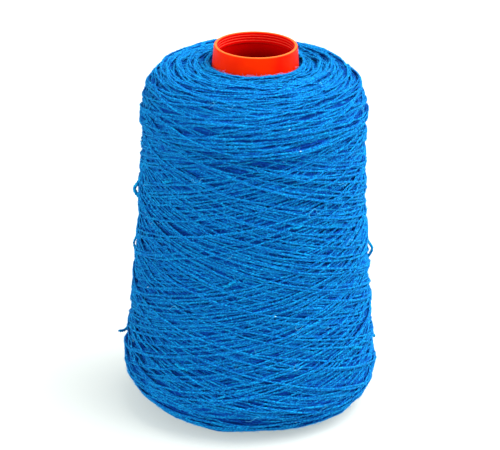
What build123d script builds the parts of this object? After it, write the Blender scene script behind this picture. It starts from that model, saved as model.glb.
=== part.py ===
from build123d import *

import math
import os

# A cone of woollen knitting yarn: one moulded plastic cone tube, and one length of yarn wound
# crosswise on it, whose outer end is loose.  Millimetres, +Z up, with the origin in the middle
# of the tube's base rim, which is what the cone stands on.

# Cone tube
TUBE_LENGTH = 170.0
NOSE_DIAMETER = 37.0  # outside, at the top rim
TAPER_ANGLE = 4 + 20 / 60  # degrees between the tube's side and its axis
WALL = 1.4  # side wall, measured across the axis
COLLAR_WALL = 1.6  # thicker wall round the mouth of the nose
COLLAR_HEIGHT = 4.8
COLLAR_STEP = 0.8  # length over which the collar runs out into the side wall
LIP_ROUNDING = 0.7
GROOVE_COUNT = 3
GROOVE_PITCH = 1.2
GROOVE_WIDTH = 0.5
GROOVE_DEPTH = 0.3
FIRST_GROOVE = 1.2  # from the rim down to the middle of the first groove
BASE_LAND_HEIGHT = 6.0  # straight seat inside the base rim
BASE_ROUNDING = 0.5

# Yarn package
PACKAGE_BASE_DIAMETER = 118.4  # where the side meets the bottom face, before rounding
PACKAGE_TOP_DIAMETER = 98.0  # where the side meets the top face, before rounding
BASE_SHOWING = 3.0  # bare tube under the package
NOSE_SHOWING = 9.8  # bare tube above the package
CROWN_DISH = 2.0  # how far the top face dips towards the tube
SHOULDER_ROUNDING = 19.0
FOOT_ROUNDING = 19.0
WINDING_CLEARANCE = 0.2  # between the first layer of yarn and the tube

# Largest share of a wall that a rounding takes: one of two on a rim, or the only one on a face
RIM_SHARE = 0.45
FACE_SHARE = 0.85

# Running end: the last stretch of the yarn, lying round the package with its tip sprung free
YARN_DIAMETER = 1.2
ARC_SHARE = 0.45  # share of the shorter run that an arc takes at each corner
RUNNING_END_POINTS = [
    (-22.7, 53.4, 40.0),
    (-33.6, 47.7, 37.4),
    (-42.8, 40.1, 34.6),
    (-50.4, 30.5, 31.8),
    (-55.3, 21.0, 28.8),
    (-58.3, 11.3, 25.6),
    (-60.6, 5.0, 27.4),
]

TAPER = math.tan(math.radians(TAPER_ANGLE))
NOSE_RADIUS = NOSE_DIAMETER / 2
COLLAR_BORE_RADIUS = NOSE_RADIUS - COLLAR_WALL


def tube_outside(height):
    """Outer radius of the tube at a height."""
    return NOSE_RADIUS + (TUBE_LENGTH - height) * TAPER


def tube_inside(height):
    """Radius of the tapered bore at a height."""
    return tube_outside(height) - WALL


def limited(rounding, wall, share):
    """A rounding, kept within its share of the wall that it is cut on."""
    return min(rounding, share * wall)


def make_collar_grooves():
    """Rings cut into the mouth of the nose, which grip a peg adaptor."""
    ring = Cylinder(COLLAR_BORE_RADIUS + GROOVE_DEPTH, GROOVE_WIDTH)
    ring -= Cylinder(COLLAR_BORE_RADIUS - GROOVE_DEPTH, GROOVE_WIDTH)
    grooves = Part()
    for number in range(GROOVE_COUNT):
        height = TUBE_LENGTH - FIRST_GROOVE - number * GROOVE_PITCH
        grooves += Pos(0, 0, height) * ring
    return grooves


def make_cone_tube():
    """One moulding: tapered wall, thicker grooved collar at the nose, straight seat in the base."""
    collar_bottom = TUBE_LENGTH - COLLAR_HEIGHT
    side_top = collar_bottom - COLLAR_STEP
    seat_radius = tube_inside(BASE_LAND_HEIGHT)
    with BuildPart() as tube:
        with BuildSketch(Plane.XZ) as wall:
            with BuildLine():
                Polyline(
                    (tube_outside(0), 0),
                    (NOSE_RADIUS, TUBE_LENGTH),
                    (COLLAR_BORE_RADIUS, TUBE_LENGTH),
                    (COLLAR_BORE_RADIUS, collar_bottom),
                    (tube_inside(side_top), side_top),
                    (seat_radius, BASE_LAND_HEIGHT),
                    (seat_radius, 0),
                    close=True,
                )
            make_face()
            lip_edges = wall.vertices().sort_by(Axis.Y)[-2:]
            fillet(lip_edges, limited(LIP_ROUNDING, COLLAR_WALL, RIM_SHARE))
            base_edges = wall.vertices().sort_by(Axis.Y)[:2]
            fillet(base_edges, limited(BASE_ROUNDING, WALL, RIM_SHARE))
        revolve(axis=Axis.Z)
    return tube.part - make_collar_grooves()


def make_yarn_package():
    """The wound yarn as one ring: tapered outside, rounded shoulder and foot, tapered bore."""
    inner_top = TUBE_LENGTH - NOSE_SHOWING
    bore_top = tube_outside(inner_top) + WINDING_CLEARANCE
    bore_base = tube_outside(BASE_SHOWING) + WINDING_CLEARANCE
    side_top = PACKAGE_TOP_DIAMETER / 2
    side_base = PACKAGE_BASE_DIAMETER / 2
    with BuildPart() as package:
        with BuildSketch(Plane.XZ) as section:
            with BuildLine():
                Polyline(
                    (bore_base, BASE_SHOWING),
                    (side_base, BASE_SHOWING),
                    (side_top, inner_top + CROWN_DISH),
                    (bore_top, inner_top),
                    close=True,
                )
            make_face()
            foot = section.vertices().sort_by(Axis.Y)[:2].sort_by(Axis.X)[-1]
            fillet(foot, limited(FOOT_ROUNDING, side_base - bore_base, FACE_SHARE))
            shoulder = section.vertices().sort_by(Axis.Y)[-1]
            fillet(shoulder, limited(SHOULDER_ROUNDING, side_top - bore_top, FACE_SHARE))
        revolve(axis=Axis.Z)
    return package.part


def corner_radii(points):
    """Arc radius at each inner point, as large as the two runs beside it allow."""
    radii = []
    for before, corner, after in zip(points, points[1:], points[2:]):
        run_in = Vector(*corner) - Vector(*before)
        run_out = Vector(*after) - Vector(*corner)
        half_turn = math.radians(run_in.get_angle(run_out)) / 2
        radii.append(ARC_SHARE * min(run_in.length, run_out.length) / math.tan(half_turn))
    return radii


def make_running_end():
    """The loose outer end of the yarn, as a round tube on straight runs joined by arcs."""
    radii = corner_radii(RUNNING_END_POINTS)
    path = FilletPolyline(*RUNNING_END_POINTS, radius=radii)
    section = Plane(origin=path @ 0, z_dir=path % 0) * Circle(YARN_DIAMETER / 2)
    solid = sweep(section, path=path)
    swept = math.pi * YARN_DIAMETER**2 / 4 * path.length
    print("running_end radii", [round(radius, 1) for radius in radii])
    print("running_end length", round(path.length, 2))
    print("running_end volume", round(solid.volume, 3), "section x length", round(swept, 3))
    return solid


def write_parts():
    """Write one STEP file for each piece."""
    os.makedirs("parts", exist_ok=True)
    pieces = {
        "cone_tube": make_cone_tube(),
        "yarn_package": make_yarn_package(),
        "running_end": make_running_end(),
    }
    for name, piece in pieces.items():
        export_step(piece, f"parts/{name}.step")
        print(name, "volume", round(piece.volume, 1))


write_parts()
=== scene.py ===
"""A cone of woollen yarn on a moulded plastic cone tube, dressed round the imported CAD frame."""

import logging
import math
from collections.abc import Mapping
from dataclasses import dataclass, field
from enum import Enum
from functools import cache

import bpy
import numpy as np
from mathutils import Matrix, Vector


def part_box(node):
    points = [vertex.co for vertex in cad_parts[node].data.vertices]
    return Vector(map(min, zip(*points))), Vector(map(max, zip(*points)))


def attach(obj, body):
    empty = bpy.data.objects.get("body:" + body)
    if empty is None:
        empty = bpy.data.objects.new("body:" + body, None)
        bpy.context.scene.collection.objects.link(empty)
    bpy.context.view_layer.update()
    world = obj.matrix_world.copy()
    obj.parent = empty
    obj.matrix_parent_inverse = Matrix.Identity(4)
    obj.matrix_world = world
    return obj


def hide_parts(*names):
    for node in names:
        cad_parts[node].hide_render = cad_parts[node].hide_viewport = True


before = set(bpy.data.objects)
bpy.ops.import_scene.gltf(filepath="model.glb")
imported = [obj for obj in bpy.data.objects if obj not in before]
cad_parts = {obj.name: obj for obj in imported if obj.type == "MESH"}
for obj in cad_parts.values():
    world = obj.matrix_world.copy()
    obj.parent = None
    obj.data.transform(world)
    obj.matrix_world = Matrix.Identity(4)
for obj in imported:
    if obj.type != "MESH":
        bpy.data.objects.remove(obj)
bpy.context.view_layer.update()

MM = 0.001
TURN = 2 * math.pi
GOLDEN = (math.sqrt(5) - 1) / 2
ROOT = "root"
FREE = -1.0  # what a strand that lies on nothing has for its depth
LOG = logging.getLogger("yarn_cone")

Colour = tuple[float, float, float, float]
Point = tuple[float, float, float]


# ---------------------------------------------------------------- number and mesh helpers


def gaussian(reach: float) -> np.ndarray:
    """Weights exp(-n^2 / (2 reach^2)) at whole steps n, out to three times the reach."""
    half = int(3 * reach) + 1
    return np.exp(-0.5 * (np.arange(-half, half + 1) / reach) ** 2)


def smooth_noise(rng: np.random.Generator, count: int, reach: float) -> np.ndarray:
    """Random values along a line, smoothed by a Gaussian, with a spread of about one.

    Args:
        rng: seeded generator.
        count: number of values.
        reach: standard deviation of the Gaussian, in steps.

    Returns:
        White noise convolved with the Gaussian, over the root of the sum of its squared weights.
    """
    weights = gaussian(reach)
    values = np.convolve(rng.standard_normal(count + len(weights) - 1), weights, mode="valid")
    return values / math.sqrt(float((weights**2).sum()))


def smoothed(values: np.ndarray, reach: float) -> np.ndarray:
    """A Gaussian average along a line, whose end values are held beyond its ends."""
    weights = gaussian(reach)
    padded = np.pad(values, len(weights) // 2, mode="edge")
    return np.convolve(padded, weights / weights.sum(), mode="valid")


def blurred(grid: np.ndarray, reach: float) -> np.ndarray:
    """A Gaussian average over a grid whose second direction runs once round.

    Args:
        grid: the values.
        reach: standard deviation both ways, in cells.

    Returns:
        Weighted sums of shifted copies, first down and then round.
    """
    weights = gaussian(reach)
    weights = weights / weights.sum()
    half = len(weights) // 2
    padded = np.pad(grid, ((half, half), (0, 0)), mode="edge")
    down = sum(weight * padded[k : k + len(grid)] for k, weight in enumerate(weights))
    return sum(weight * np.roll(down, k - half, axis=1) for k, weight in enumerate(weights))


def unit(vectors: np.ndarray) -> np.ndarray:
    """The vectors at length one."""
    length = np.linalg.norm(vectors, axis=-1, keepdims=True)
    return vectors / np.maximum(length, 1e-12)


def joined(*parts: np.ndarray | float) -> np.ndarray:
    """Coordinates side by side in one array, each spread to the size of the others."""
    return np.stack(np.broadcast_arrays(*parts), axis=-1)


def walk(line: np.ndarray) -> np.ndarray:
    """Distance walked along a line of points, at each of them."""
    return np.concatenate([[0], np.cumsum(np.linalg.norm(np.diff(line, axis=0), axis=1))])


def eased(share: np.ndarray) -> np.ndarray:
    """A share from 0 to 1 with both ends eased: 3 s^2 - 2 s^3."""
    return share * share * (3 - 2 * share)


def add_mesh(
    name: str,
    points: np.ndarray,
    faces: list[np.ndarray],
    uvs: list[np.ndarray] | None = None,
    depth: np.ndarray | None = None,
) -> bpy.types.Object:
    """Make a smooth-shaded mesh object at the origin from whole arrays.

    Args:
        name: the piece's name.
        points: vertex places, in metres, one row each.
        faces: arrays of vertex numbers, one row for each face, each array with faces of one size.
        uvs: for each array in faces, its corners' map places, one row for each corner.
        depth: one value for each vertex, kept as the attribute "depth".

    Returns:
        The new object, linked to the scene.
    """
    mesh = bpy.data.meshes.new(name)
    totals = np.concatenate([np.full(len(f), f.shape[1], np.int32) for f in faces])
    corners = np.concatenate([f.ravel() for f in faces]).astype(np.int32)
    starts = np.concatenate([[0], np.cumsum(totals)[:-1]]).astype(np.int32)
    mesh.vertices.add(len(points))
    mesh.vertices.foreach_set("co", points.astype(np.float32).ravel())
    mesh.loops.add(len(corners))
    mesh.loops.foreach_set("vertex_index", corners)
    mesh.polygons.add(len(totals))
    mesh.polygons.foreach_set("loop_start", starts)
    mesh.polygons.foreach_set("loop_total", totals)
    mesh.polygons.foreach_set("use_smooth", np.ones(len(totals), bool))
    if uvs is not None:
        layer = mesh.uv_layers.new(name="strand")
        layer.uv.foreach_set("vector", np.concatenate(uvs).astype(np.float32).ravel())
    if depth is not None:
        values = mesh.attributes.new("depth", "FLOAT", "POINT")
        values.data.foreach_set("value", depth.astype(np.float32).ravel())
    mesh.update(calc_edges=True)
    piece = bpy.data.objects.new(name, mesh)
    bpy.context.collection.objects.link(piece)
    return piece


def dress_in_yarn(piece: bpy.types.Object, material: bpy.types.Material) -> bpy.types.Object:
    """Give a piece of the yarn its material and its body."""
    piece.data.materials.append(material)
    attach(piece, ROOT)
    return piece


def turned_faces(rows: int, segments: int, closed: bool) -> np.ndarray:
    """Quads of a grid whose second direction runs once round.

    Args:
        rows: number of rings.
        segments: vertices in each ring.
        closed: whether the last ring joins the first.

    Returns:
        Vertex numbers, four for each quad, with the ring direction first.
    """
    row = np.arange(rows if closed else rows - 1)[:, None]
    column = np.arange(segments)[None, :]
    here, after = row * segments, (row + 1) % rows * segments
    beside = (column + 1) % segments
    return joined(here + column, here + beside, after + beside, after + column).reshape(-1, 4)


def turned_uvs(along: np.ndarray, segments: int) -> np.ndarray:
    """Map places of the corners of those quads: the distance along the rows and the share of a turn.

    Args:
        along: distance of each ring, in millimetres, with the first ring's again where closed.
        segments: vertices in each ring.

    Returns:
        One row for each corner.
    """
    first, last = along[:-1, None], along[1:, None]
    left = np.arange(segments) / segments
    right = left + 1 / segments
    corners = [joined(first, left), joined(first, right), joined(last, right), joined(last, left)]
    return np.stack(corners, axis=2).reshape(-1, 2)


def turned_piece(name: str, outline: np.ndarray, segments: int) -> bpy.types.Object:
    """Turn a closed outline round +Z: each point is (r cos a, r sin a, z).

    Args:
        name: the piece's name.
        outline: radius and height of each point, in metres, with the solid on its left.
        segments: number of steps round.

    Returns:
        The closed ring as an object.
    """
    angle = np.arange(segments) * TURN / segments
    radius, height = outline[:, :1], outline[:, 1:]
    points = joined(radius * np.cos(angle), radius * np.sin(angle), height)
    along = walk(np.concatenate([outline, outline[:1]])) / MM
    faces = turned_faces(len(outline), segments, True)
    return add_mesh(name, points.reshape(-1, 3), [faces], [turned_uvs(along, segments)])


@dataclass
class Strands:
    """Several round strands of equally many points, carried along their paths.

    Attributes:
        path: points of each strand, as strands x points x 3, in metres.
        lift: a direction at each point that isn't along the path, in the same form.
        radius: half the thickness at each point.
        along: distance along the yarn at each point, in millimetres.
        depth: how far each point lies under the outermost turns, in millimetres, or FREE.
        sides: corners of the section.
        flat: height of the section over its width.
    """

    path: np.ndarray
    lift: np.ndarray
    radius: np.ndarray
    along: np.ndarray
    depth: np.ndarray
    sides: int
    flat: float = 1.0

    def piece(self, name: str) -> bpy.types.Object:
        """Sweep the section: each ring is centre + r (flat cos t lift + sin t side).

        Args:
            name: the piece's name.

        Returns:
            The strands as one object, each closed at both ends.
        """
        strands, rings = self.radius.shape
        tangent = unit(np.gradient(self.path, axis=1))
        side = unit(np.cross(tangent, self.lift))
        lift = np.cross(side, tangent)
        angle = np.arange(self.sides) * TURN / self.sides
        up = self.flat * np.cos(angle)[:, None] * lift[:, :, None, :]
        across = np.sin(angle)[:, None] * side[:, :, None, :]
        points = self.path[:, :, None, :] + self.radius[:, :, None, None] * (up + across)
        first = (np.arange(strands) * rings * self.sides)[:, None, None]
        quads = (turned_faces(rings, self.sides, False)[None] + first).reshape(-1, 4)
        ring = np.arange(self.sides)
        start_caps = first[:, 0] + ring[::-1]
        end_caps = first[:, 0] + (rings - 1) * self.sides + ring
        quad_uvs = np.concatenate([turned_uvs(along, self.sides) for along in self.along])
        cap_uvs = joined(np.repeat(self.along[:, [0, -1]].T.ravel(), self.sides), 0.0)
        return add_mesh(
            name,
            points.reshape(-1, 3),
            [quads, np.concatenate([start_caps, end_caps])],
            [quad_uvs, cap_uvs],
            np.repeat(self.depth.ravel(), self.sides),
        )


def two_ply(
    name: str, line: np.ndarray, diameter: float, lay_length: float, ply_share: float
) -> tuple[bpy.types.Object, float]:
    """Two round plies that wind round a line as a double helix.

    Args:
        name: the piece's name.
        line: points of the line, in metres.
        diameter: the yarn's thickness.
        lay_length: length in which a ply goes once round.
        ply_share: a ply's radius over the yarn's.

    Returns:
        The piece and the line's length. Each ply's centre is the line plus the rest of the yarn's
        radius times (cos a lift + sin a side), where a grows evenly along the line.
    """
    ring_step, tapered, least_taper = 0.3 * MM, 0.5 * MM, 0.35
    walked = walk(line)
    length = float(walked[-1])
    count = max(12, int(length / ring_step))
    even = np.linspace(0, length, count)
    centre = joined(*(np.interp(even, walked, axis) for axis in line.T))
    tangent = unit(np.gradient(centre, axis=0))
    side = unit(np.cross(tangent, [0.0, 0.0, 1.0]))
    lift = np.cross(side, tangent)
    ply_radius = diameter / 2 * ply_share
    angle = (even / lay_length * TURN + np.array([[0.0], [math.pi]]))[..., None]
    path = centre + (diameter / 2 - ply_radius) * (np.cos(angle) * lift + np.sin(angle) * side)
    taper = np.clip(np.minimum(even, length - even) / tapered, least_taper, 1)
    radius, along, depth = (np.broadcast_to(v, (2, count)) for v in (ply_radius * taper, even / MM, FREE))
    return Strands(path, np.stack([lift, lift]), radius, along, depth, 8).piece(name), length


# ---------------------------------------------------------------- shader helpers


class Value:
    """An output socket on which arithmetic adds Math nodes."""

    def __init__(self, nodes: "Nodes", socket: bpy.types.NodeSocket) -> None:
        """Keep the socket and the nodes of its tree."""
        self.nodes = nodes
        self.socket = socket

    def through(self, operation: str, *others: object) -> "Value":
        """The result of a Math node whose first input this is."""
        return self.nodes.math(operation, self, *others)

    def __add__(self, other: object) -> "Value":
        """The sum."""
        return self.through("ADD", other)

    def __sub__(self, other: object) -> "Value":
        """The difference."""
        return self.through("SUBTRACT", other)

    def __rsub__(self, other: float) -> "Value":
        """A number less this."""
        return self.nodes.math("SUBTRACT", other, self)

    def __mul__(self, other: object) -> "Value":
        """The product."""
        return self.through("MULTIPLY", other)

    def __truediv__(self, other: object) -> "Value":
        """The quotient."""
        return self.through("DIVIDE", other)


class Nodes:
    """A node tree with short calls for adding nodes and links."""

    def __init__(self, tree: bpy.types.NodeTree) -> None:
        """Keep the tree."""
        self.tree = tree

    def feed(self, source: object, socket: bpy.types.NodeSocket) -> None:
        """Link a value to an input socket, or set the socket to a plain number or colour."""
        if isinstance(source, Value):
            self.tree.links.new(source.socket, socket)
        else:
            socket.default_value = source

    def give(self, node: bpy.types.Node, values: Mapping[str, object]) -> None:
        """Feed a node's inputs by name."""
        for name, value in values.items():
            self.feed(value, node.inputs[name])

    def add(self, kind: str, values: Mapping[str, object], **settings: object) -> bpy.types.Node:
        """Add a node.

        Args:
            kind: Blender's name of the node type.
            values: what feeds its inputs, by name.
            settings: its properties by name, set first.

        Returns:
            The node.
        """
        node = self.tree.nodes.new(kind)
        for name, value in settings.items():
            setattr(node, name, value)
        self.give(node, values)
        return node

    def take(self, node: bpy.types.Node, name: str | int = 0) -> Value:
        """One output of a node."""
        return Value(self, node.outputs[name])

    def math(self, operation: str, *inputs: object) -> Value:
        """The result of a Math node, its inputs in order."""
        node = self.add("ShaderNodeMath", {}, operation=operation)
        for value, socket in zip(inputs, node.inputs):
            self.feed(value, socket)
        return self.take(node)

    def ramp(self, value: Value, low: float, high: float) -> Value:
        """Map a value smoothly so that low gives 0 and high gives 1."""
        values = {"Value": value, "From Min": low, "From Max": high}
        return self.take(self.add("ShaderNodeMapRange", values, interpolation_type="SMOOTHSTEP"), "Result")

    def noise(self, place: Value, scale: object, detail: float) -> Value:
        """Noise from 0 to 1 at a place, with that many cycles for each unit."""
        noise = self.add("ShaderNodeTexNoise", {"Vector": place, "Scale": scale, "Detail": detail})
        return self.take(noise, "Fac")

    def mix(self, share: Value, low: object, high: object) -> Value:
        """Mix two colours by a share from 0 to 1."""
        node = self.add("ShaderNodeMix", {}, data_type="RGBA")
        for value, number in ((share, 0), (low, 6), (high, 7)):
            self.feed(value, node.inputs[number])
        return self.take(node, 2)

    def vector(self, *parts: object) -> Value:
        """Two or three values put together as a vector."""
        node = self.add("ShaderNodeCombineXYZ", {})
        for value, socket in zip(parts, node.inputs):
            self.feed(value, socket)
        return self.take(node)

    def parts(self, vector: Value) -> list[Value]:
        """The three values of a vector."""
        node = self.add("ShaderNodeSeparateXYZ", {"Vector": vector})
        return [Value(self, socket) for socket in node.outputs]

    def place(self) -> Value:
        """The place in the object's own coordinates."""
        return self.take(self.add("ShaderNodeTexCoord", {}), "Object")

    def strand(self) -> list[Value]:
        """From a strand's own map: the millimetres along it, and the share of a turn round it."""
        return self.parts(self.take(self.add("ShaderNodeUVMap", {}, uv_map="strand")))[:2]

    def bump(self, height: Value, strength: float, reach: float) -> Value:
        """The normal of a surface that a height raises by that reach."""
        bump = self.add("ShaderNodeBump", {"Height": height, "Strength": strength, "Distance": reach})
        return self.take(bump)

    def group(self, tree: bpy.types.NodeTree, values: Mapping[str, object]) -> dict[str, Value]:
        """Place a shared group with its own values, and give its outputs by name."""
        node = self.add("ShaderNodeGroup", values, node_tree=tree)
        return {socket.name: Value(self, socket) for socket in node.outputs}


def new_group(
    name: str, inputs: Mapping[str, str], outputs: tuple[str, ...]
) -> tuple[Nodes, dict[str, Value], bpy.types.Node]:
    """Start a shader node group.

    Args:
        name: the group's name.
        inputs: socket types by name, as short words: Float, Color or Vector.
        outputs: names of the numbers that it puts out.

    Returns:
        The group's nodes, its inputs by name and the node that takes what it puts out.
    """
    tree = bpy.data.node_groups.new(name, "ShaderNodeTree")
    for label, kind in inputs.items():
        tree.interface.new_socket(label, in_out="INPUT", socket_type=f"NodeSocket{kind}")
    for label in outputs:
        tree.interface.new_socket(label, in_out="OUTPUT", socket_type="NodeSocketFloat")
    nodes = Nodes(tree)
    given = nodes.add("NodeGroupInput", {})
    return nodes, {label: nodes.take(given, label) for label in inputs}, nodes.add("NodeGroupOutput", {})


def twist_group() -> bpy.types.NodeTree:
    """Two plies laid round each other.

    Returns:
        A group whose Height is |sin| of twice the angle round the strand plus the turns along it,
        roughened by fibres that lie along the plies, and whose Groove is 1 between the plies.
    """
    inputs = {"Along": "Float", "Around": "Float", "Lay Length": "Float", "Fibre": "Float"}
    nodes, given, wanted = new_group("ply_twist", inputs, ("Height", "Groove"))
    phase = (given["Around"] + given["Along"] / given["Lay Length"]) * 2.0
    wave = (phase * math.pi).through("SINE").through("ABSOLUTE")
    fibres = nodes.noise(nodes.vector(given["Along"] * 0.9, phase * 5.0), 1.6, 3.0)
    height = wave.through("POWER", 0.6) + fibres * given["Fibre"]
    nodes.give(wanted, {"Height": height, "Groove": 1.0 - nodes.ramp(wave, 0.0, 0.55)})
    return nodes.tree


def heather_group() -> bpy.types.NodeTree:
    """Uneven dye and stray fibres along a woollen yarn.

    Returns:
        A group with a slow Shade, a Teal drift, a Bright streak of fibres and fine Tufts, each
        from 0 to 1, and Fleck, which is 1 on the rare pale bits of lint. Each is a ramp of noise
        at its own place on the strand's map.
    """
    names = ("Shade", "Teal", "Bright", "Fleck", "Tuft")
    nodes, given, wanted = new_group("heather", {"Along": "Float", "Around": "Float"}, names)
    along, around = given["Along"], given["Around"]
    layers = (
        ((along * 0.03, 0.0), 4.0, 0.3, 0.7),
        ((along * 0.05, 7.0), 3.0, 0.45, 0.8),
        ((along * 0.45, around * 4.0), 3.0, 0.45, 0.75),
        ((along * 0.35, around * 1.5, 3.0), 1.0, 0.80, 0.84),
        ((along * 1.25, around * 4.0, 11.0), 4.0, 0.36, 0.64),
    )
    for name, (place, detail, low, high) in zip(names, layers):
        noise = nodes.noise(nodes.vector(*place), 1.0, detail)
        nodes.give(wanted, {name: nodes.ramp(noise, low, high)})
    return nodes.tree


def mottle_group() -> bpy.types.NodeTree:
    """Faint cloudiness and fine grain of a surface: a slow Cloud and a fine Grain, from 0 to 1."""
    inputs = {"Place": "Vector", "Cloud Scale": "Float", "Grain Scale": "Float"}
    nodes, given, wanted = new_group("mottle", inputs, ("Cloud", "Grain"))
    for name, detail in (("Cloud", 3.0), ("Grain", 2.0)):
        nodes.give(wanted, {name: nodes.noise(given["Place"], given[f"{name} Scale"], detail)})
    return nodes.tree


@dataclass
class SharedGroups:
    """The node groups that several finishes use, each built once."""

    twist: bpy.types.NodeTree = field(default_factory=twist_group)
    heather: bpy.types.NodeTree = field(default_factory=heather_group)
    mottle: bpy.types.NodeTree = field(default_factory=mottle_group)


def new_material(name: str) -> tuple[bpy.types.Material, Nodes, bpy.types.Node]:
    """Start a material, and give it, its nodes and its Principled BSDF."""
    material = bpy.data.materials.new(name)
    material.use_nodes = True
    return material, Nodes(material.node_tree), material.node_tree.nodes["Principled BSDF"]


# ---------------------------------------------------------------- finishes


@dataclass(frozen=True)
class YarnFinish:
    """Two-ply woollen yarn: dyed blue, hairy, with heathered fibres."""

    name: str
    dye: Colour = (0.001, 0.250, 0.65, 1.0)
    dark: Colour = (0.0005, 0.110, 0.44, 1.0)
    teal: Colour = (0.001, 0.350, 0.58, 1.0)
    bright: Colour = (0.010, 0.60, 0.98, 1.0)
    lint: Colour = (0.40, 0.75, 0.95, 1.0)
    # dark blue of the painted shade between the plies, on the shaded sides of the turns and on the lowest
    # turns, and of fine dark specks
    hollow: Colour = (0.0010, 0.018, 0.24, 1.0)
    lay_length: float = 2.8  # millimetres in which the plies go once round
    fibre: float = 0.55  # how much single fibres roughen the plies
    teal_share: float = 0.6
    bright_share: float = 0.55
    # painted highlight: the outermost turns are drawn paler, as if they catch more light than the turns under
    # them
    top_highlight: float = 0.14  # how much paler the outermost turns are
    top_highlight_depth: float = 0.5  # millimetres
    mottle: float = 0.85
    # painted shade in the groove between the plies
    groove: float = 0.5  # how dark it is between the plies
    crevice: float = 0.8  # how dark the sides are that turns beside them shade
    crevice_from: float = -0.3  # cosine of the angle from the top, where the sides are darkest
    crevice_to: float = 0.5
    # painted shade: the turns are drawn darker the deeper they lie under the outermost ones
    sunk: float = 0.8  # how dark the lowest turns are
    sunk_from: float = 0.3  # millimetres under the outermost turns
    sunk_to: float = 1.9
    roughness: float = 0.88
    specular: float = 0.04
    sheen: float = 0.18
    sheen_roughness: float = 0.5
    sheen_tint: Colour = (0.02, 0.55, 1.0, 1.0)
    bump: float = 0.9
    bump_height: float = 0.00022

    def material(self, groups: SharedGroups) -> bpy.types.Material:
        """Build the material from the strand's own map and its depth.

        Args:
            groups: the shared node groups.

        Returns:
            The material.
        """
        material, nodes, shader = new_material(self.name)
        along, around = nodes.strand()
        strand = {"Along": along, "Around": around}
        twist = nodes.group(groups.twist, {**strand, "Lay Length": self.lay_length, "Fibre": self.fibre})
        heather = nodes.group(groups.heather, strand)
        depth = nodes.take(nodes.add("ShaderNodeAttribute", {}, attribute_name="depth"), "Fac")
        # mask of the painted highlight, 1 on the outermost turns and 0 from a little way under them
        top = 1.0 - nodes.ramp(depth, 0.0, self.top_highlight_depth)
        outward = (around * TURN).through("COSINE")
        wound = depth.through("GREATER_THAN", FREE / 2)
        crevice = (1.0 - nodes.ramp(outward, self.crevice_from, self.crevice_to)) * (wound * self.crevice)
        colour = nodes.mix(heather["Shade"], self.dark, self.dye)
        # over the dye: teal and bright streaks, the painted highlight on the outermost turns, dark specks,
        # painted shade between the plies, on the sides of the turns and on the lowest turns, then pale lint
        for share, over in (
            (heather["Teal"] * self.teal_share, self.teal),
            (heather["Bright"] * self.bright_share, self.bright),
            (top * self.top_highlight, self.bright),
            ((1.0 - heather["Tuft"]) * self.mottle, self.hollow),
            (twist["Groove"] * self.groove, self.hollow),
            (crevice, self.hollow),
            (nodes.ramp(depth, self.sunk_from, self.sunk_to) * self.sunk, self.hollow),
            (heather["Fleck"], self.lint),
        ):
            colour = nodes.mix(share, colour, over)
        values = {
            "Base Color": colour,
            "Roughness": self.roughness,
            "Specular IOR Level": self.specular,
            "Sheen Weight": self.sheen,
            "Sheen Roughness": self.sheen_roughness,
            "Sheen Tint": self.sheen_tint,
            "Normal": nodes.bump(twist["Height"], self.bump, self.bump_height),
        }
        nodes.give(shader, values)
        return material


@dataclass(frozen=True)
class CoreFinish:
    """The yarn deep in the package: dark with painted shade, with the crossing turns of the layers below."""

    name: str
    shadow: Colour = (0.0005, 0.030, 0.25, 1.0)
    # painted shade: the turns are a darker blue than the wound yarn's dye
    turn: Colour = (0.001, 0.095, 0.44, 1.0)
    pitch: float = 1.1  # millimetres from turn to turn
    lead: int = 83  # whole turns crossed once round
    patch_scale: float = 90.0
    grain_scale: float = 3000.0
    under: float = 0.35  # height of the lower set of turns over the upper set's
    grain: float = 0.4
    bump_height: float = 0.0004
    roughness: float = 0.95
    specular: float = 0.02

    def material(self, groups: SharedGroups) -> bpy.types.Material:
        """Build the material: two sets of ridges that slope opposite ways, in patches.

        Args:
            groups: the shared node groups.

        Returns:
            The material. A ridge is |sin| of pi times the turns along plus the lead times round.
        """
        material, nodes, shader = new_material(self.name)
        along, around = nodes.strand()
        rising, falling = (
            ((along / self.pitch + around * lead) * math.pi).through("SINE").through("ABSOLUTE")
            for lead in (self.lead, -self.lead)
        )
        scales = {"Cloud Scale": self.patch_scale, "Grain Scale": self.grain_scale}
        patches = nodes.group(groups.mottle, {"Place": nodes.place(), **scales})
        choice = nodes.ramp(patches["Cloud"], 0.46, 0.54)
        height = (rising * (choice + self.under)).through("MAXIMUM", falling * (1.0 - choice + self.under))
        values = {
            "Base Color": nodes.mix(nodes.ramp(height, 0.25, 1.0), self.shadow, self.turn),
            "Roughness": self.roughness,
            "Specular IOR Level": self.specular,
            "Normal": nodes.bump(height + patches["Grain"] * self.grain, 1.0, self.bump_height),
        }
        nodes.give(shader, values)
        return material


@dataclass(frozen=True)
class FibreFinish:
    """Single wool fibres, most of them dyed and a few pale."""

    name: str
    dyed: Colour = (0.002, 0.25, 0.72, 1.0)
    bright: Colour = (0.02, 0.52, 0.95, 1.0)
    lint: Colour = (0.42, 0.78, 0.95, 1.0)
    roughness: float = 0.8
    specular: float = 0.05

    def material(self, groups: SharedGroups) -> bpy.types.Material:
        """Build the material: each fibre takes its tint from its own place on the map.

        Args:
            groups: the shared node groups.

        Returns:
            The material.
        """
        material, nodes, shader = new_material(self.name)
        along, around = nodes.strand()
        heather = nodes.group(groups.heather, {"Along": along, "Around": around})
        colour = nodes.mix(heather["Shade"], self.dyed, self.bright)
        colour = nodes.mix(heather["Fleck"], colour, self.lint)
        values = {"Base Color": colour, "Roughness": self.roughness, "Specular IOR Level": self.specular}
        nodes.give(shader, values)
        return material


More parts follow.
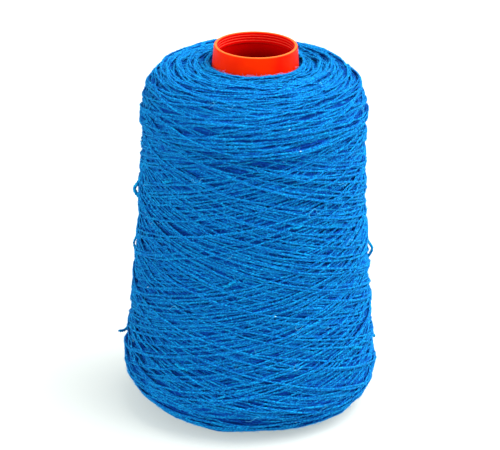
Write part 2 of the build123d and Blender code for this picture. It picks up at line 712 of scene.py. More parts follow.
@dataclass(frozen=True)
class PlasticFinish:
    """Satin orange-red plastic, slightly see-through where it is thin."""

    name: str
    body: Colour = (0.62, 0.0010, 0.0003, 1.0)
    cloud: Colour = (0.80, 0.021, 0.0005, 1.0)
    # painted highlight round the lip: a paler, more orange rim
    lip: Colour = (0.98, 0.17, 0.03, 1.0)
    inner: Colour = (0.66, 0.0006, 0.0003, 1.0)
    # painted shade deep in the bore
    deep: Colour = (0.22, 0.0, 0.0, 1.0)
    # painted highlight along the lower edge of each groove inside the mouth
    ridge: Colour = (1.0, 0.12, 0.07, 1.0)
    gloss_tint: Colour = (1.0, 0.32, 0.10, 1.0)
    cloud_scale: float = 38.0
    grain_scale: float = 2600.0
    lip_highlight_share: float = 0.75
    lip_highlight_from: float = 0.35 * MM  # under the rim
    lip_highlight_to: float = 0.05 * MM
    lining_from: float = 0.45  # shares of the wall's thickness
    lining_to: float = 0.75
    # painted shade: depth under the rim at which the bore is fully darkened
    dark_below: float = 15 * MM
    ridge_highlight: float = 0.5
    ridge_shift: float = 0.4  # from a groove's middle to the line of its painted highlight, over its width
    lines_across: float = 12.0  # cycles for each metre of the turning lines
    lines_along: float = 900.0
    roughness: float = 0.33
    uneven_gloss: float = 0.18
    specular: float = 0.07
    bump: float = 0.5
    bump_height: float = 0.00006
    grain: float = 0.3
    glow: float = 0.12
    glow_reach: float = 0.003
    glow_radius: Point = (1.0, 0.35, 0.1)

    def material(self, groups: SharedGroups, tube: "ConeTube") -> bpy.types.Material:
        """Build the material.

        Args:
            groups: the shared node groups.
            tube: the tube that it dresses, for the heights of its rim and ridges.

        Returns:
            The material: painted highlights at the rim and on the ridges inside the mouth,
            and painted shade deeper down the bore, with faint turning lines round the wall.
        """
        rim = tube.height
        material, nodes, shader = new_material(self.name)
        place = nodes.place()
        scales = {"Cloud Scale": self.cloud_scale, "Grain Scale": self.grain_scale}
        mottle = nodes.group(groups.mottle, {"Place": place, **scales})
        x, y, z = nodes.parts(place)
        # mask of the painted highlight at the rim
        edge = nodes.ramp(z, rim - self.lip_highlight_from, rim - self.lip_highlight_to)
        radius = (x.through("POWER", 2.0) + y.through("POWER", 2.0)).through("SQRT")
        buried = z * -tube.slope + tube.base_radius - radius
        inside = nodes.ramp(buried, tube.wall * self.lining_from, tube.wall * self.lining_to)
        # mask of the painted shade in the bore, growing from the foot of the collar downwards
        deeper = 1.0 - nodes.ramp(z, rim - self.dark_below, rim - tube.collar_height)
        turn = (rim - tube.first_groove - self.ridge_shift * tube.groove_width - z) / tube.groove_pitch + 1.0
        line = 1.0 - nodes.ramp(turn.through("PINGPONG", 0.5), 0.02, 0.11)
        below_lip = z.through("LESS_THAN", rim - tube.first_groove)
        collar = z.through("GREATER_THAN", rim - tube.collar_height - tube.groove_width)
        # mask of the painted highlight lines along the grooves
        ridge_highlight_mask = inside * (below_lip * collar) * line
        colour = nodes.mix(nodes.ramp(mottle["Cloud"], 0.35, 0.65), self.body, self.cloud)
        # painted highlight round the rim
        colour = nodes.mix(edge * self.lip_highlight_share, colour, self.lip)
        # inside the wall, the plastic's red darkening down the bore as painted shade
        colour = nodes.mix(inside * (1.0 - edge), colour, nodes.mix(deeper, self.inner, self.deep))
        # painted highlight lines on the collar
        colour = nodes.mix(ridge_highlight_mask * self.ridge_highlight, colour, self.ridge)
        stretched = nodes.vector(x * self.lines_across, y * self.lines_across, z * self.lines_along)
        lines = nodes.noise(stretched, 1.0, 2.0)
        values = {
            "Base Color": colour,
            "Roughness": lines * self.uneven_gloss + self.roughness,
            "Specular Tint": self.gloss_tint,
            "Specular IOR Level": self.specular,
            "Subsurface Weight": self.glow,
            "Subsurface Radius": self.glow_radius,
            "Subsurface Scale": self.glow_reach,
            "Normal": nodes.bump(lines + mottle["Grain"] * self.grain, self.bump, self.bump_height),
        }
        nodes.give(shader, values)
        return material


@dataclass(frozen=True)
class FloorFinish:
    """Plain pale sheet, lit a little from below."""

    name: str = "pale_floor"
    light: Colour = (0.42, 0.43, 0.41, 1.0)
    shade: Colour = (0.405, 0.415, 0.395, 1.0)
    glow: Colour = (0.90, 1.0, 0.96, 1.0)
    glow_strength: float = 0.44
    cloud_scale: float = 3.0
    grain_scale: float = 900.0
    roughness: float = 0.9
    specular: float = 0.1

    def material(self, groups: SharedGroups) -> bpy.types.Material:
        """Build the material: two close greys in soft clouds."""
        material, nodes, shader = new_material(self.name)
        scales = {"Cloud Scale": self.cloud_scale, "Grain Scale": self.grain_scale}
        mottle = nodes.group(groups.mottle, {"Place": nodes.place(), **scales})
        values = {
            "Base Color": nodes.mix(mottle["Cloud"], self.light, self.shade),
            "Roughness": self.roughness,
            "Specular IOR Level": self.specular,
            "Emission Color": self.glow,
            "Emission Strength": self.glow_strength,
        }
        nodes.give(shader, values)
        return material


# ---------------------------------------------------------------- the cone tube


@dataclass(frozen=True)
class ConeTube:
    """The moulded plastic cone, with the sizes of its CAD solid, in metres."""

    nose_radius: float = 18.5 * MM
    wall: float = 1.4 * MM
    collar_wall: float = 1.6 * MM
    collar_height: float = 4.8 * MM
    collar_step: float = 0.8 * MM
    lip_rounding: float = 0.75 * MM
    groove_count: int = 3
    groove_pitch: float = 1.2 * MM
    groove_width: float = 0.5 * MM
    groove_depth: float = 0.3 * MM
    first_groove: float = 1.2 * MM  # from the rim down to the middle of the first groove
    base_land: float = 6.0 * MM
    base_rounding: float = 0.5 * MM
    segments: int = 240

    @property
    def height(self) -> float:
        """Height of the rim, from the CAD solid's box."""
        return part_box("cone_tube")[1][2]

    @property
    def base_radius(self) -> float:
        """Outer radius of the base rim, from the CAD solid's box."""
        low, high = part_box("cone_tube")
        return (high[0] - low[0]) / 2

    @property
    def slope(self) -> float:
        """How much the outer radius falls for each unit of height."""
        return (self.base_radius - self.nose_radius) / self.height

    def outside(self, height: np.ndarray | float) -> np.ndarray | float:
        """Outer radius at a height: straight from the base rim to the nose."""
        return self.base_radius + (self.nose_radius - self.base_radius) * height / self.height

    def outline(self) -> np.ndarray:
        """The wall's closed outline: up the outside, over the lip and down the bore.

        Returns:
            Radius and height of each point. The lip and the base edges are quarter circles, and
            each groove is one hump of a squared cosine cut into the collar.
        """
        top, lip, base = self.height, self.lip_rounding, self.base_rounding
        bore = self.nose_radius - self.collar_wall
        quarter = np.linspace(0, math.pi / 2, 9)
        short, long = 1 - np.sin(quarter), 1 - np.cos(quarter)
        side = np.linspace(base, top - lip, 16)
        depth = np.linspace(lip, self.collar_height, 82)[1:]
        number = np.clip(np.round((depth - self.first_groove) / self.groove_pitch), 0, self.groove_count - 1)
        off_middle = depth - self.first_groove - number * self.groove_pitch
        hump = np.cos(math.pi * np.clip(off_middle / self.groove_width, -0.5, 0.5)) ** 2
        step_low = top - self.collar_height - self.collar_step
        share = np.linspace(0, 1, 8)[1:]
        step = top - self.collar_height - self.collar_step * share
        recess = self.outside(step_low) - self.wall
        down = np.linspace(step_low, self.base_land, 14)[1:]
        seat = self.outside(self.base_land) - self.wall
        runs = [
            joined(self.outside(side), side),
            joined(self.outside(top - lip) - lip * long, top - lip * short)[1:],
            joined(bore + lip * short, top - lip * long),
            joined(bore + self.groove_depth * hump, top - depth),
            joined(bore + (recess - bore) * eased(share), step),
            joined(self.outside(down) - self.wall, down),
            joined(seat + base * long, base * short),
            joined(self.outside(0) - base * short, base * long)[:-1],
        ]
        return np.concatenate(runs)

    def build(self, material: bpy.types.Material) -> bpy.types.Object:
        """Turn the outline and stand it for the CAD solid."""
        piece = turned_piece("cone_tube_shell", self.outline(), self.segments)
        piece.data.materials.append(material)
        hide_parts("cone_tube")
        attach(piece, ROOT)
        return piece


# ---------------------------------------------------------------- the yarn package


@dataclass(frozen=True)
class PackageShape:
    """The outer surface of the wound yarn, as a half outline walked from base to nose."""

    bore_gap: float = 1.15 * MM  # from the tube to the middle of the nearest turn
    base_level: float = 4.0 * MM
    foot_width: float = 16.6 * MM
    foot_top: float = 21.6 * MM
    side_top: float = 140.4 * MM
    side_top_radius: float = 50.36 * MM
    side_hollow: float = 1.8 * MM
    shoulder_width: float = 19.8 * MM
    shoulder_power: float = 2.2
    crown_level: float = 161.4 * MM
    nose_level: float = 162.9 * MM
    sag: float = 2.1 * MM  # how far the heavier side hangs lower at the foot
    sag_angle: float = math.radians(-38)
    sag_top: float = 45 * MM  # where the sag begins, going down
    sag_fade: float = 40 * MM
    floor_gap: float = 0.7 * MM  # least height of the middle of a turn
    step: float = 0.25 * MM
    smoothing: float = 6.0  # in steps

    @property
    def foot_radius(self) -> float:
        """Largest radius, from the CAD solid's box."""
        low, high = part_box("yarn_package")
        return (high[0] - low[0]) / 2

    def corners(self) -> np.ndarray:
        """The half outline: lines for the underside and crown, superellipse quarters between.

        Returns:
            Radius and height of each point, unevenly spaced, from the base bore to the nose.
        """
        tube = ConeTube()
        start = tube.outside(self.base_level) + self.bore_gap
        foot_in = self.foot_radius - self.foot_width
        crown_in = self.side_top_radius - self.shoulder_width
        end = tube.outside(self.nose_level) + self.bore_gap
        quarter = np.linspace(0, math.pi / 2, 120)
        power = 2 / self.shoulder_power
        across, upward = np.cos(quarter) ** power, np.sin(quarter) ** power
        share, inward = np.linspace(0, 1, 300), np.linspace(0, 1, 60)
        foot_drop = self.foot_top - self.base_level
        runs = [
            joined(np.linspace(start, foot_in, 40), self.base_level),
            joined(foot_in + self.foot_width * np.sin(quarter), self.foot_top - foot_drop * np.cos(quarter)),
            joined(
                self.foot_radius
                + (self.side_top_radius - self.foot_radius) * share
                - self.side_hollow * 4 * share * (1 - share),
                self.foot_top + (self.side_top - self.foot_top) * share,
            ),
            joined(
                crown_in + self.shoulder_width * across,
                self.side_top + (self.crown_level - self.side_top) * upward,
            ),
            joined(
                crown_in + (end - crown_in) * inward,
                self.crown_level + (self.nose_level - self.crown_level) * inward**2,
            ),
        ]
        return np.concatenate([runs[0], *(run[1:] for run in runs[1:])])

    @cache
    def sampled(self) -> tuple[np.ndarray, np.ndarray, np.ndarray]:
        """Walk the outline in even steps.

        Returns:
            The distance walked, the radius and height there, and the outward normal.
        """
        corners = self.corners()
        walked = walk(corners)
        distance = np.arange(0, walked[-1], self.step)
        line = joined(*(smoothed(np.interp(distance, walked, axis), self.smoothing) for axis in corners.T))
        tangent = unit(np.gradient(line, axis=0))
        return distance, line, joined(tangent[:, 1], -tangent[:, 0])

    @property
    def length(self) -> float:
        """Distance walked along the whole outline."""
        return self.sampled()[0][-1]

    def distance_at(self, height: float) -> float:
        """Distance walked to where the side or shoulder reaches a height."""
        distance, line, normal = self.sampled()
        side = normal[:, 0] > 0.2
        return float(np.interp(height, line[side, 1], distance[side]))

    def settled(self, points: np.ndarray) -> np.ndarray:
        """Let the foot hang lower on its heavier side.

        Args:
            points: places on or near the surface.

        Returns:
            The places, lowered by sag times a smooth step that fades above the foot and a cosine
            of the angle from the heavier side, and nowhere under the floor gap.
        """
        angle = np.arctan2(points[..., 1], points[..., 0])
        fade = eased(np.clip((self.sag_top - points[..., 2]) / self.sag_fade, 0, 1))
        drop = self.sag * fade * (0.5 + 0.5 * np.cos(angle - self.sag_angle))
        moved = points.copy()
        moved[..., 2] = np.maximum(moved[..., 2] - drop, self.floor_gap)
        return moved

    def lumps(self, distance: np.ndarray, angle: np.ndarray) -> np.ndarray:
        """Slow unevenness of a soft package: a few waves round it and along it."""
        along = distance / (30 * MM)
        wave = 0.16 * np.sin(3 * angle + along) + 0.12 * np.sin(5 * angle - 1.7 * along)
        return (wave + 0.10 * np.sin(2 * angle + 2.3 * along + 1)) * MM

    def place(
        self, distance: np.ndarray, angle: np.ndarray, lift: np.ndarray
    ) -> tuple[np.ndarray, np.ndarray]:
        """Points over the surface.

        Args:
            distance: distance walked along the outline.
            angle: angle round the axis.
            lift: height along the outward normal.

        Returns:
            The points, (r cos a, r sin a, z) with the lift added along the normal, and the normals.
        """
        walked, line, normal = self.sampled()
        radius, height, out, up = (np.interp(distance, walked, axis) for axis in (*line.T, *normal.T))
        lift = lift + self.lumps(distance, angle)
        cos, sin = np.cos(angle), np.sin(angle)
        reach = radius + out * lift
        points = joined(reach * cos, reach * sin, height + up * lift)
        return self.settled(points), joined(out * cos, out * sin, up)


class Zone(Enum):
    """The stretches of the outline between which the yarn is laid to and fro."""

    FOOT = "foot"
    CROWN = "crown"
    BODY = "body"
    EDGE = "edge"


@dataclass(frozen=True)
class Traverse:
    """How the winder lays the yarn in one zone.

    Attributes:
        zone: where.
        strokes: how many times the guide travels, each way counted once.
        low: least and greatest distance along the outline of the lower turning points.
        high: the same for the upper ones.
        wraps: turns of the cone in one stroke, less what shifts the next stroke sideways.
        ramp: share of a stroke over which the guide slows down at each end.
        slowing: share of its speed that it loses there.
        opening: share of the strokes that open a new bundle.
        beside: shift from a stroke to its neighbour in a bundle, in turns.
        jitter: spread of that shift, in turns.
    """

    zone: Zone
    strokes: int
    low: tuple[float, float]
    high: tuple[float, float]
    wraps: float = 2.0
    ramp: float = 0.25
    slowing: float = 0.8
    opening: float = 0.3
    beside: float = 0.0150
    jitter: float = 0.0040

    def turning(self, rng: np.random.Generator) -> list[np.ndarray]:
        """The lower and the upper turning points, one of each for every stroke and one more.

        Args:
            rng: seeded generator.

        Returns:
            Distances along the outline. Each lies between its bounds by 1/2 + 1/2 tanh of a slow
            drift plus a jump of its own.
        """
        points = []
        for low, high in (self.low, self.high):
            drift = smooth_noise(rng, self.strokes + 1, 2.0)
            share = 0.5 + 0.5 * np.tanh(0.6 * drift + 0.9 * rng.standard_normal(self.strokes + 1))
            points.append(low + (high - low) * share)
        return points

    def travel(self, share: np.ndarray) -> np.ndarray:
        """How far the guide has come, from 0 to 1.

        Args:
            share: share of the stroke's time.

        Returns:
            The running sum of its speed, which is even in the middle and eases down to its least
            at both ends.
        """
        speed = 1 - self.slowing * (1 - eased(np.clip(np.minimum(share, 1 - share) / self.ramp, 0, 1)))
        come = np.concatenate([[0], np.cumsum(0.5 * (speed[1:] + speed[:-1]))])
        return come / come[-1]

    def starts(self, rng: np.random.Generator) -> np.ndarray:
        """Turns of the cone at the start of each stroke, and at the end of the last.

        Args:
            rng: seeded generator.

        Returns:
            The turns: whole wraps, plus the golden share for each bundle, so that bundles fall
            between the earlier ones, plus a strand's width for each stroke within a bundle.
        """
        pairs = self.strokes // 2 + 1
        opens = rng.random(pairs) < self.opening
        opens[0] = True
        bundle = np.cumsum(opens)
        member = np.arange(pairs) - np.flatnonzero(opens)[bundle - 1]
        stroke = np.arange(self.strokes + 1)
        shift = GOLDEN * bundle + self.beside * member
        return self.wraps * stroke + shift[stroke // 2] + self.jitter * rng.standard_normal(len(stroke))


@dataclass
class Winding:
    """The whole wound yarn: its path, and how high each turn lies on those under it."""

    shape: PackageShape
    yarn_radius: float = 0.49 * MM
    fine_step: float = 0.66 * MM
    squash: float = 0.72  # share of its radius that a soft strand keeps under tension
    levelling: float = 4.0 * MM  # how far round the tension evens out the heights
    proud: float = 1.4 * MM
    overshoot: float = 0.4  # share of its height over the rest that a turn keeps
    visible_depth: float = 1.7 * MM  # depth into which all the lower turns are pressed
    cell: float = 0.5 * MM  # of the height map
    columns: int = 900
    seed: int = 20
    distance: np.ndarray = field(init=False)
    angle: np.ndarray = field(init=False)
    lift: np.ndarray = field(init=False)
    depth: np.ndarray = field(init=False)

    def traverses(self) -> list[Traverse]:
        """The zones in the order in which they are wound.

        Returns:
            The underside and foot, then the crown, then the cross-winding over the whole body, and
            last a few turns round the foot's edge.
        """
        end = self.shape.length
        foot = self.shape.distance_at(self.shape.foot_top)
        top = self.shape.distance_at(self.shape.side_top)
        return [
            Traverse(Zone.FOOT, 30, (0.5 * MM, 6 * MM), (foot - 18 * MM, foot + 3 * MM)),
            Traverse(Zone.CROWN, 40, (top - 2 * MM, top + 20 * MM), (end - 10 * MM, end)),
            Traverse(Zone.BODY, 286, (foot - 33 * MM, foot - 5 * MM), (top - 2 * MM, top + 24 * MM)),
            Traverse(Zone.EDGE, 14, (foot - 20 * MM, foot - 13 * MM), (foot - 12 * MM, foot - 3 * MM)),
        ]

    def wind(self) -> None:
        """Lay every stroke, find how the turns rest on each other, and keep the result."""
        rng = np.random.default_rng(self.seed)
        distances, angles, marks = [], [], [0]
        start_turns = 0.0
        for traverse in self.traverses():
            turning = traverse.turning(rng)
            starts = start_turns + traverse.starts(rng)
            for number in range(traverse.strokes):
                first, last = turning[number % 2][number], turning[(number + 1) % 2][number + 1]
                middle = self.shape.place(np.array([(first + last) / 2]), np.zeros(1), np.zeros(1))[0]
                wraps = starts[number + 1] - starts[number]
                count = int(wraps * TURN * float(np.hypot(*middle[0, :2])) / self.fine_step)
                share = np.arange(count + 1) / count
                distances.append((first + (last - first) * traverse.travel(share))[:-1])
                angles.append(TURN * (starts[number] + wraps * share[:-1]))
                marks.append(count)
            start_turns = float(starts[-1])
            LOG.info("%s: %d strokes", traverse.zone.value, traverse.strokes)
        laid = np.concatenate(distances)
        self.angle = np.concatenate(angles)
        wander = 0.28 * smooth_noise(rng, len(laid), 14) + 0.12 * smooth_noise(rng, len(laid), 4)
        self.distance = np.clip(laid + wander * MM, 0.2 * MM, self.shape.length)
        self.settle(np.cumsum(marks))

    def settle(self, marks: np.ndarray) -> None:
        """Lay the strokes in order on a height map and lift each over what it crosses.

        Args:
            marks: the first sample of each stroke, and the end.
        """
        rows = int(self.shape.length / self.cell) + 4
        heights = np.zeros((rows, self.columns))
        row = np.clip((self.distance / self.cell).astype(int) + 1, 1, rows - 2)
        column = (self.angle / TURN * self.columns).astype(int) % self.columns
        lift = np.empty(len(row))
        thick = self.yarn_radius * self.squash
        for first, last in zip(marks[:-1], marks[1:]):
            r, c = row[first:last], column[first:last]
            under = np.maximum.reduce([heights[r + near, c] for near in (-1, 0, 1)])
            held = np.maximum.reduce([np.roll(under, near) for near in (-1, 0, 1)])
            middle = smoothed(0.55 * held + 0.45 * under, 2.2) + thick
            lift[first:last] = middle
            for near, share in ((-1, 0.95), (0, 1.0), (1, 0.95)):
                np.maximum.at(heights, (r + near, c), middle + thick * share)
        level = blurred(heights, self.levelling / self.cell) + self.proud
        ceiling = blurred(level, 2)[row, column]
        under = np.maximum(0, ceiling - lift - thick)
        sunk = self.visible_depth * (1 - np.exp(-under / self.visible_depth))
        self.lift = self.overshoot * np.maximum(lift + thick - ceiling, 0) - sunk - thick
        around = np.maximum.reduce([heights[row + near, column] for near in (-1, 0, 1)])
        self.depth = np.maximum(0, smoothed(around - lift - thick, 2.0))

    def at(self, chosen: np.ndarray) -> list[np.ndarray]:
        """Distance, angle and lift of the chosen samples."""
        return [values[chosen] for values in (self.distance, self.angle, self.lift)]

    def showing(self, deepest: float) -> np.ndarray:
        """The samples that lie no deeper than that."""
        return np.flatnonzero(self.depth < deepest)[2:-2]


@dataclass
class YarnPackage:
    """Everything that shows of the wound yarn."""

    winding: Winding
    mesh_step: int = 3  # fine samples in one ring of a strand
    sides: int = 5
    flat: float = 0.9
    rings_per_piece: int = 19000
    core_gap: float = 0.5 * MM  # from the core up to the lowest turns
    core_bore_gap: float = 0.25 * MM
    core_segments: int = 160
    seed: int = 7

    def core(self) -> bpy.types.Object:
        """The yarn under the modelled turns: a closed ring whose outside follows their lowest level."""
        shape = self.winding.shape
        _, line, normal = shape.sampled()
        outer = (line - normal * (self.winding.visible_depth + self.core_gap))[::6]
        inside = np.linspace(outer[-1, 1] - 1.0 * MM, outer[0, 1] + 1.0 * MM, 40)
        bore = joined(ConeTube().outside(inside) + self.core_bore_gap, inside)
        piece = turned_piece("package_core", np.concatenate([outer, bore]), self.core_segments)
        points = np.empty(len(piece.data.vertices) * 3, np.float32)
        piece.data.vertices.foreach_get("co", points)
        settled = shape.settled(points.reshape(-1, 3).astype(float))
        piece.data.vertices.foreach_set("co", settled.astype(np.float32).ravel())
        return piece

    def strands(self) -> list[bpy.types.Object]:
        """The wound yarn itself, in winding order, cut into pieces that follow without a gap."""
        winding = self.winding
        rng = np.random.default_rng(self.seed)
        take = np.arange(0, len(winding.distance), self.mesh_step)
        path, normal = winding.shape.place(*winding.at(take))
        uneven = 1 + 0.09 * smooth_noise(rng, len(take), 5) + 0.06 * smooth_noise(rng, len(take), 1.2)
        radius = winding.yarn_radius * np.clip(uneven, 0.72, 1.35)
        rows = (path, normal, radius, take * winding.fine_step / MM, winding.depth[take] / MM)
        pieces = []
        for number, first in enumerate(range(0, len(take) - 1, self.rings_per_piece)):
            part = slice(first, first + self.rings_per_piece + 1)
            strand = Strands(*(row[None, part] for row in rows), self.sides, self.flat)
            pieces.append(strand.piece(f"wound_yarn_{number + 1:02d}"))
        return pieces

    def build(self, yarn: bpy.types.Material, core: bpy.types.Material) -> list[bpy.types.Object]:
        """Build every piece of the package and stand them for the CAD solid.

        Args:
            yarn: the strands' material.
            core: the material of the yarn under them.

        Returns:
            The pieces.
        """
        pieces = [dress_in_yarn(self.core(), core), *(dress_in_yarn(p, yarn) for p in self.strands())]
        for piece in pieces:
            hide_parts("yarn_package")
        return pieces


@dataclass
class LooseFibres:
    """Short wool fibres that stand off the wound yarn."""

    winding: Winding
    pieces: int = 3
    fibres_per_piece: int = 13000
    points: int = 3
    sides: int = 3
    deepest: float = 0.7 * MM  # of the turns that they grow from
    rooted: float = 0.85  # of the yarn's radius
    thickness: float = 0.09 * MM
    shortest: float = 0.9 * MM
    longest: float = 4.0 * MM
    lean: float = 0.55  # spreads, in radians, of the lean from the yarn and of the bend
    bend: float = 0.35
    seed: int = 11

    def build(self, material: bpy.types.Material) -> list[bpy.types.Object]:
        """Grow the fibres from the turns that show.

        Args:
            material: their finish.

        Returns:
            The pieces. A fibre starts on its strand and follows base + L (t d + b t^2 e) + n lift,
            where d leans away from the yarn's direction, e is square to it, b is its bend, and the
            lift rises with t and falls back with t^2.
        """
        rng = np.random.default_rng(self.seed)
        winding = self.winding
        shown = winding.showing(self.deepest)
        count = self.fibres_per_piece
        share = np.linspace(0, 1, self.points)[None, :, None]
        made = []
        for number in range(self.pieces):
            chosen = rng.choice(shown, count)
            place, normal = winding.shape.place(*winding.at(chosen))
            along = unit(winding.shape.place(*winding.at(chosen + 1))[0] - place)
            side = np.cross(along, normal)
            lean = rng.normal(0, self.lean, count)[:, None]
            sign = rng.choice([-1.0, 1.0], count)[:, None]
            heading = sign * np.cos(lean) * along + np.sin(lean) * side
            square = np.cross(heading, normal)
            length = self.shortest + (self.longest - self.shortest) * rng.random(count) ** 1.7
            bend = rng.normal(0, self.bend, count)
            spread = rng.uniform(-0.9, 0.9, count)[:, None]
            outward = self.rooted * np.cos(spread) * normal + self.rooted * np.sin(spread) * side
            root = place + winding.yarn_radius * outward
            rise = 0.12 + 0.5 * rng.random(count) ** 2.5
            fall = rise * rng.uniform(0.3, 1.1, count)
            flat = share * heading[:, None] + bend[:, None, None] * share**2 * square[:, None]
            upward = rise[:, None, None] * share - fall[:, None, None] * share**2
            path = root[:, None] + length[:, None, None] * (flat + upward * normal[:, None])
            path[..., 2] = np.maximum(path[..., 2], self.thickness)
            radius = self.thickness / 2 * rng.uniform(0.6, 1.3, count)[:, None] * np.ones(self.points)
            radius[:, -1] *= 0.5
            offset = rng.uniform(0, 4000, count)[:, None] + 2.0 * np.arange(self.points)[None]
            up = np.repeat(normal[:, None], self.points, axis=1)
            strands = Strands(path, up, radius, offset, np.zeros_like(radius), self.sides)
            made.append(dress_in_yarn(strands.piece(f"loose_fibres_{number + 1}"), material))
        return made


@dataclass
class PaleWisps:
    """A few long curled fibres of undyed wool that lie on the package."""

    winding: Winding
    count: int = 95
    points: int = 14
    sides: int = 4
    deepest: float = 0.3 * MM  # of the turns that they lie on
    thickness: float = 0.10 * MM
    lifted: float = 0.62 * MM
    arched: float = 0.5 * MM
    seed: int = 3

    def build(self, material: bpy.types.Material) -> bpy.types.Object:
        """Lay the wisps.

        Args:
            material: their finish.

        Returns:
            The piece. A wisp's heading turns evenly plus a slow sine, and its path is the running
            sum of its steps over the surface, lifted a little over the turns.
        """
        rng = np.random.default_rng(self.seed)
        shape = self.winding.shape
        start, turned, lift = self.winding.at(rng.choice(self.winding.showing(self.deepest), (self.count, 1)))
        share = np.linspace(0, 1, self.points)[None, :]
        each = (self.count, 1)
        heading = rng.uniform(-0.5, 0.5, each) + rng.choice([0.0, math.pi], each)
        curl = rng.normal(0, 2.2, each) * share
        curl = curl + 0.9 * np.sin(TURN * share * rng.uniform(0.6, 1.6, each))
        step = rng.uniform(3.5, 8.0, each) * MM / self.points
        across = np.cumsum(step * np.cos(heading + curl), axis=1)
        along = np.cumsum(step * np.sin(heading + curl), axis=1)
        distance = np.clip(start + along, 1 * MM, shape.length - 1 * MM)
        middle, _ = shape.place(start, turned, lift)
        reach = np.hypot(middle[..., 0], middle[..., 1])
        rise = self.lifted + self.arched * np.sin(math.pi * share) * rng.random(each)
        path, normal = shape.place(distance, turned + across / reach, lift + rise)
        radius = self.thickness / 2 * rng.uniform(0.7, 1.1, each) * np.ones(self.points)
        offset = rng.uniform(0, 4000, each) + 0.5 * np.arange(self.points)[None]
        strands = Strands(path, normal, radius, offset, np.zeros_like(radius), self.sides)
        return dress_in_yarn(strands.piece("pale_wisps"), material)


@dataclass(frozen=True)
class Slack:
    """One slack bight of yarn that stands off the package.

    Attributes:
        angle: where round the axis, in degrees.
        height: of its middle.
        reach: length covered down the outline.
        proud: how far it stands off.
        swing: how far its lower end lies round the axis from its upper end, in degrees.
        droop: 1 where it stands off most at its middle, and more where that is lower down.
        diameter: its thickness, fuller where the twist has opened.
    """

    angle: float
    height: float
    reach: float
    proud: float
    swing: float
    droop: float = 1.0
    diameter: float = 1.3 * MM


@dataclass
class SlackBights:
    """The places where the yarn has sprung off the package."""

    shape: PackageShape
    lay_length: float = 2.6 * MM
    ply_share: float = 0.62
    sunk: float = 0.9 * MM  # how far the ends lie under the surface
    known: tuple[Slack, ...] = (
        Slack(181.6, 102.2 * MM, 11.0 * MM, 1.9 * MM, 1.5, 1.7, 1.9 * MM),
        Slack(-1.0, 74.2 * MM, 9.5 * MM, 1.5 * MM, -1.5, 1.2, 1.5 * MM),
        Slack(181.2, 74.4 * MM, 9.5 * MM, 0.7 * MM, 2.0),
    )
    others: int = 12
    seed: int = 5

    def all(self) -> list[Slack]:
        """The known bights, and small ones round the rest."""
        rng = np.random.default_rng(self.seed)
        found = list(self.known)
        for number in range(self.others):
            angle = 200 + 320 * (number + rng.random()) / self.others
            height = rng.uniform(30, 138) * MM
            reach, proud = rng.uniform(1, 3) * MM, rng.uniform(0.5, 1.0) * MM
            swing = float(rng.choice([-1.0, 1.0]) * rng.uniform(5, 9))
            found.append(Slack(angle, height, reach, proud, swing))
        return found

    def build(self, material: bpy.types.Material) -> list[bpy.types.Object]:
        """Lay two plies along each bight.

        Args:
            material: the yarn.

        Returns:
            The pieces. With t growing from 0 to 1 down the bight, its lift is a power of
            sin(pi t^droop) times its height over the sunk ends, less how far they are sunk.
        """
        made = []
        share = np.linspace(0, 1, 40)
        wave = np.sin(TURN * share)
        for number, slack in enumerate(self.all()):
            distance = self.shape.distance_at(slack.height) + slack.reach * (share - 0.5 + 0.06 * wave)
            angle = math.radians(slack.angle) + math.radians(slack.swing) * (share - 0.5 + 0.18 * wave)
            arch = np.sin(math.pi * (1 - share) ** slack.droop) ** 0.8
            line, _ = self.shape.place(distance, angle, (slack.proud + self.sunk) * arch - self.sunk)
            name = f"slack_bight_{number + 1:02d}"
            piece, _ = two_ply(name, line, slack.diameter, self.lay_length, self.ply_share)
            made.append(dress_in_yarn(piece, material))
        return made


# ---------------------------------------------------------------- the running end


@dataclass(frozen=True)
class RunningEnd:
    """The loose outer end of the yarn, on the same route as its CAD tube."""

    diameter: float = 1.2 * MM
    route: tuple[Point, ...] = (
        (-0.0227, 0.0534, 0.0400),
        (-0.0336, 0.0477, 0.0374),
        (-0.0428, 0.0401, 0.0346),
        (-0.0504, 0.0305, 0.0318),
        (-0.0556, 0.0200, 0.0270),
        (-0.0576, 0.0115, 0.0240),
        (-0.0606, 0.0050, 0.0274),
    )
    lay_length: float = 4.6 * MM
    ply_share: float = 0.60  # a ply's radius over the yarn's
    fluffed: float = 1.25  # the opened plies' thickness over the yarn's

    def centre_line(self) -> np.ndarray:
        """The route's smooth line, read from its NURBS spline."""
        curve = bpy.data.curves.new("running_end_route", "CURVE")
        curve.dimensions = "3D"
        spline = curve.splines.new("NURBS")
        spline.points.add(len(self.route) - 1)
        flat = np.concatenate([np.array(self.route), np.ones((len(self.route), 1))], axis=1)
        spline.points.foreach_set("co", flat.ravel())
        spline.order_u = 3
        spline.use_endpoint_u = True
        spline.resolution_u = 24
        holder = bpy.data.objects.new("running_end_route", curve)
        mesh = bpy.data.meshes.new_from_object(holder)
        points = np.empty(len(mesh.vertices) * 3, np.float32)
        mesh.vertices.foreach_get("co", points)
        bpy.data.meshes.remove(mesh)
        bpy.data.objects.remove(holder)
        bpy.data.curves.remove(curve)
        return points.reshape(-1, 3).astype(float)

    def build(self, material: bpy.types.Material) -> bpy.types.Object:
        """Args:
            material: the yarn.

        Returns:
            The piece.
        """
        line = self.centre_line()
        thick = self.diameter * self.fluffed
        piece, length = two_ply("running_end_yarn", line, thick, self.lay_length, self.ply_share)
        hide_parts("running_end")
        dress_in_yarn(piece, material)
        return piece


# ---------------------------------------------------------------- floor, light and camera


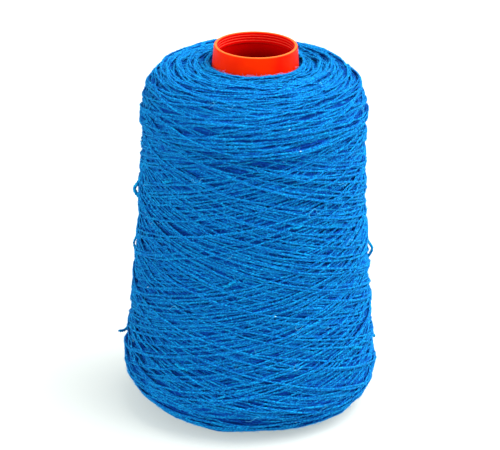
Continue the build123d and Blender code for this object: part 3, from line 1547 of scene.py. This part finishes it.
@dataclass(frozen=True)
class SoftBox:
    """A square lamp: its name, its place and size in metres, and its power in watts."""

    name: str
    place: Point
    size: float
    power: float

    def build(self, aim: Point) -> None:
        """Add the lamp, turned to a point."""
        lamp = bpy.data.lights.new(self.name, "AREA")
        lamp.shape = "SQUARE"
        lamp.size = self.size
        lamp.energy = self.power
        holder = bpy.data.objects.new(self.name, lamp)
        holder.location = self.place
        holder.rotation_mode = "QUATERNION"
        holder.rotation_quaternion = Vector(np.subtract(aim, self.place)).to_track_quat("-Z", "Y")
        bpy.context.collection.objects.link(holder)


@dataclass(frozen=True)
class Studio:
    """A pale floor, soft light from the right, and the camera, in metres and degrees."""

    camera_place: Point = (0.0, -1.150, 0.5660)
    pitch: float = 22.75
    yaw: float = -0.05
    roll: float = 1.12
    lens: float = 198.5
    sensor: float = 36.0
    farthest: float = 50.0
    floor_size: float = 14.0
    world_colour: Colour = (1.0, 1.0, 1.0, 1.0)
    world_strength: float = 0.85
    aim: Point = (0.0, 0.0, 0.085)
    lamps: tuple[SoftBox, ...] = (
        SoftBox("key", (1.25, -0.15, 1.5), 2.0, 68.0),
        SoftBox("fill", (-1.3, -1.0, 0.6), 1.2, 16.0),
        SoftBox("top", (0.6, 0.35, 2.0), 1.9, 31.0),
    )

    def floor(self, material: bpy.types.Material) -> None:
        """A flat sheet of floor under the object."""
        half = self.floor_size / 2
        points = np.array([(-half, -half, 0), (half, -half, 0), (half, half, 0), (-half, half, 0)], float)
        piece = add_mesh("floor", points, [np.array([[0, 1, 2, 3]])])
        piece.data.materials.append(material)

    def camera(self) -> None:
        """Make the camera, level turned by the roll, and use it."""
        pitch, yaw, roll = (math.radians(a) for a in (self.pitch, self.yaw, self.roll))
        ahead = np.array([math.sin(yaw) * math.cos(pitch), math.cos(yaw) * math.cos(pitch), -math.sin(pitch)])
        right = unit(np.cross(ahead, [0.0, 0.0, 1.0]))
        above = np.cross(right, ahead)
        across = math.cos(roll) * right + math.sin(roll) * above
        upward = -math.sin(roll) * right + math.cos(roll) * above
        camera = bpy.data.cameras.new("camera")
        camera.lens = self.lens
        camera.sensor_width = self.sensor
        camera.clip_end = self.farthest
        holder = bpy.data.objects.new("camera", camera)
        turn = Matrix(joined(across, upward, -ahead).tolist())
        holder.matrix_world = Matrix.Translation(self.camera_place) @ turn.to_4x4()
        bpy.context.collection.objects.link(holder)
        bpy.context.scene.camera = holder

    def world(self) -> None:
        """Even white light from all round."""
        world = bpy.data.worlds.new("studio")
        world.use_nodes = True
        background = world.node_tree.nodes["Background"]
        background.inputs["Color"].default_value = self.world_colour
        background.inputs["Strength"].default_value = self.world_strength
        bpy.context.scene.world = world

    def build(self, material: bpy.types.Material) -> None:
        """Set up the floor, the lights, the camera and the plain view transform."""
        self.floor(material)
        for lamp in self.lamps:
            lamp.build(self.aim)
        self.camera()
        self.world()
        bpy.context.scene.view_settings.view_transform = "Standard"


def main() -> None:
    """Build the studio, the running end, the tube and the package."""
    logging.basicConfig(level=logging.INFO, format="%(name)s: %(message)s")
    groups = SharedGroups()
    Studio().build(FloorFinish().material(groups))
    yarn = YarnFinish("blue_woollen_yarn").material(groups)
    # painted light: a paler copy of the wound yarn's finish for the yarn that stands off the package, as if
    # it caught more light
    lit_free_yarn = YarnFinish(
        "lit_loose_blue_yarn",
        dye=(0.002, 0.36, 0.66, 1.0),
        dark=(0.001, 0.22, 0.52, 1.0),
        teal=(0.002, 0.48, 0.62, 1.0),
        hollow=(0.001, 0.07, 0.32, 1.0),
    ).material(groups)
    made = [RunningEnd().build(lit_free_yarn)]
    tube = ConeTube()
    made.append(tube.build(PlasticFinish("orange_red_plastic").material(groups, tube)))
    winding = Winding(PackageShape())
    winding.wind()
    made += YarnPackage(winding).build(yarn, CoreFinish("deep_wool").material(groups))
    made += SlackBights(winding.shape).build(lit_free_yarn)
    made += LooseFibres(winding).build(FibreFinish("loose_wool_fibre").material(groups))
    pale = FibreFinish("undyed_wool_fibre", (0.01, 0.42, 0.85, 1.0), (0.20, 0.72, 0.92, 1.0))
    made.append(PaleWisps(winding).build(pale.material(groups)))
    for piece in made:
        LOG.info("%s: %d faces", piece.name, len(piece.data.polygons))


if __name__ == "__main__":
    main()
